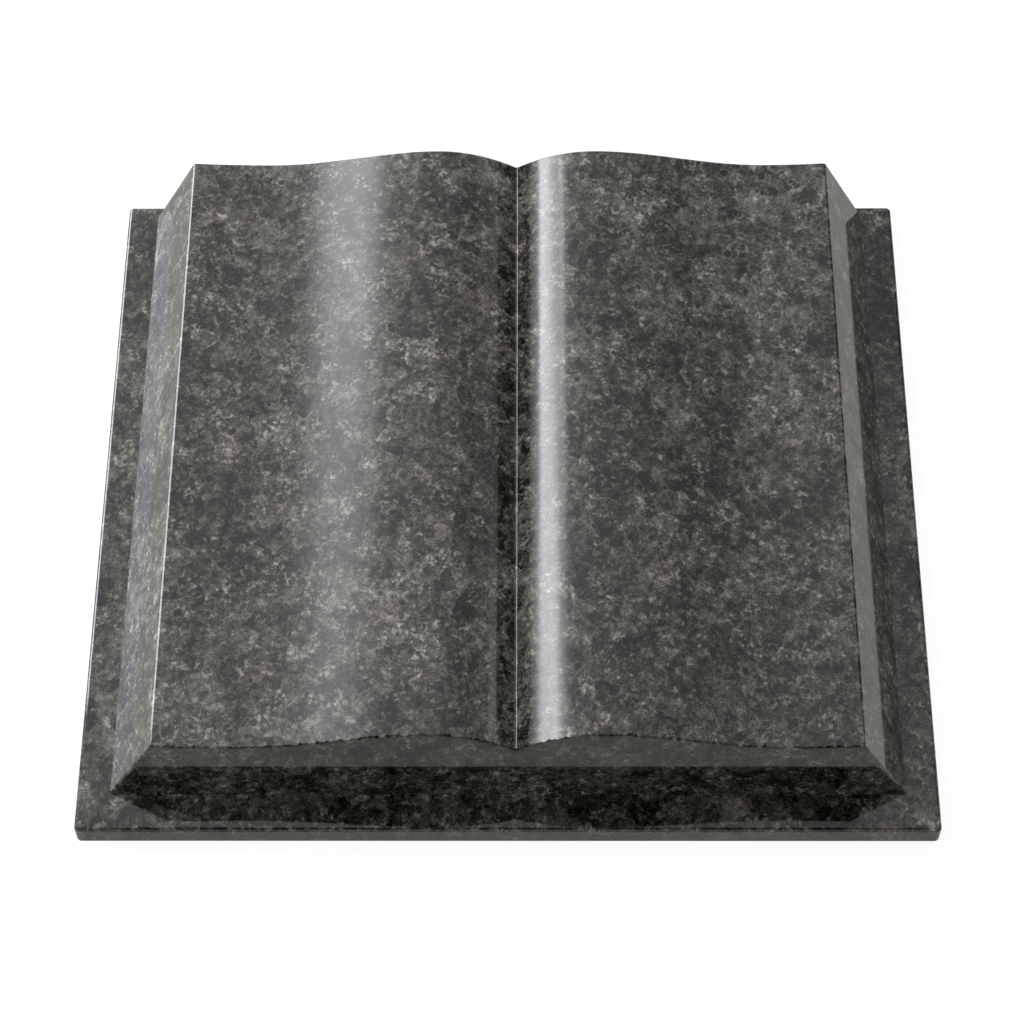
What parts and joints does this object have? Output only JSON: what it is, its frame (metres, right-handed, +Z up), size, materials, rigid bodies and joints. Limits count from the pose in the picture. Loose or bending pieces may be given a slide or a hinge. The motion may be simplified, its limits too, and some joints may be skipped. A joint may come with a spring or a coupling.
{
  "type": "open-book headstone",
  "caption": "Polished dark granite memorial: an open book block with curved pages and bevelled fore edges, lying on a thin rectangular base slab.",
  "frame": {"origin": "centre of the base slab's underside", "axes": "+X across the two pages to the reader's right, -Y towards the reader at the tail of the pages, +Z up"},
  "size_m": [0.65, 0.59, 0.0965],
  "materials": {
    "slab_granite": "polished dark grey granite with lighter grey clouds and fine pale veins",
    "book_granite": "polished dark grey granite with lighter grey clouds and fine pale veins"
  },
  "bodies": {
    "root": {"base_slab": "slab_granite", "open_book": "book_granite"}
  },
  "joints": []
}
